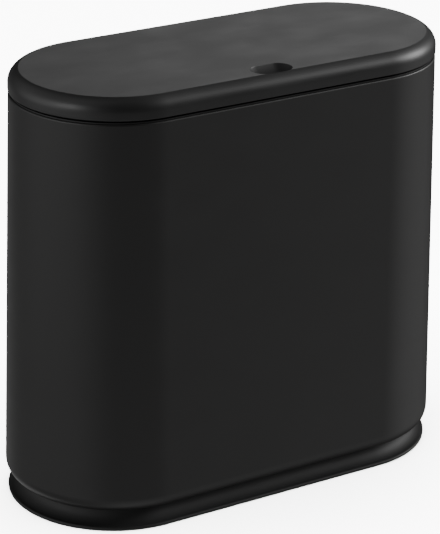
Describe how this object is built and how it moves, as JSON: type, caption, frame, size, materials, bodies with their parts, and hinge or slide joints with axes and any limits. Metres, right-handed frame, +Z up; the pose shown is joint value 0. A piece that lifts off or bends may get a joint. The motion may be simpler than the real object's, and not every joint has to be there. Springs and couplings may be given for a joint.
{
  "type": "press-top waste bin",
  "caption": "Slim oval waste bin: tapered painted steel sleeve on a moulded foot, press-to-open hinged lid, lift-out bucket with a wire bail.",
  "frame": {"origin": "on the floor under the middle of the bin", "axes": "+X along the bin's length, -Y to the front where the lid is pressed, +Z up"},
  "size_m": [0.3312, 0.1532, 0.3094],
  "materials": {
    "sleeve_paint": "fine satin powder coat, near black",
    "foot_plastic": "black moulding, slightly glossier than the sleeve",
    "lid_plastic": "satin charcoal moulding",
    "frame_plastic": "plain black moulding",
    "bucket_plastic": "dark grey moulding",
    "latch_plastic": "light grey low-friction moulding",
    "rubber": "soft black rubber",
    "steel": "plated steel"
  },
  "bodies": {
    "base": {"outer_sleeve": "sleeve_paint", "base_foot": "foot_plastic", "foot_pads": "rubber", "floor_tray": "frame_plastic", "base_screws": "steel"},
    "frame": {"top_frame": "frame_plastic", "hinge_pins": "steel", "lid_spring_right": "steel", "lid_spring_left": "steel", "latch_case": "latch_plastic", "latch_case_screws": "steel", "latch_spring": "steel"},
    "lid": {"lid_cover": "lid_plastic", "lid_liner": "frame_plastic", "lid_screws": "steel", "lid_bumpers": "rubber", "striker": "latch_plastic", "striker_screws": "steel"},
    "carriage": {"latch_carriage": "latch_plastic", "jaw_pins": "steel"},
    "right_jaw": {"jaw_right": "latch_plastic"},
    "left_jaw": {"jaw_left": "latch_plastic"},
    "bucket": {"inner_bucket": "bucket_plastic"},
    "bail": {"bucket_handle": "steel"}
  },
  "joints": [
    {"name": "top_lift", "type": "slide", "parent": "base", "child": "frame", "axis": [0, 0, 1], "range_m": [0, 0.5]},
    {"name": "lid_hinge", "type": "hinge", "parent": "frame", "child": "lid", "pos_m": [0, 0.0682, 0.2978], "axis": [-1, 0, 0], "range_deg": [-0.6, 85], "deforming": ["lid_spring_right", "lid_spring_left"]},
    {"name": "latch_slide", "type": "slide", "parent": "frame", "child": "carriage", "axis": [0, 0, 1], "range_m": [-0.0002, 0.0036], "deforming": ["latch_spring"]},
    {"name": "right_jaw_hinge", "type": "hinge", "parent": "carriage", "child": "right_jaw", "pos_m": [0.0042, -0.06, 0.2781], "axis": [0, 1, 0], "range_deg": [-0.2, 15.4]},
    {"name": "left_jaw_hinge", "type": "hinge", "parent": "carriage", "child": "left_jaw", "pos_m": [-0.0042, -0.06, 0.2781], "axis": [0, -1, 0], "range_deg": [-0.2, 15.4]},
    {"name": "bucket_lift", "type": "slide", "parent": "base", "child": "bucket", "axis": [0, 0, 1], "range_m": [0, 0.291]},
    {"name": "bail_hinge", "type": "hinge", "parent": "bucket", "child": "bail", "pos_m": [0, 0, 0.252], "axis": [1, 0, 0], "range_deg": [0, 90.2]}
  ],
  "couplings": [
    {"joint": "latch_slide", "follows": "lid_hinge", "m_per_rad": 0.0023592},
    {"joint": "right_jaw_hinge", "follows": "lid_hinge", "ratio": 0.17647},
    {"joint": "left_jaw_hinge", "follows": "lid_hinge", "ratio": 0.17647},
    {"joint": "bucket_lift", "follows": "top_lift", "ratio": 0.58},
    {"joint": "bail_hinge", "follows": "top_lift", "rad_per_m": 3.1416}
  ]
}
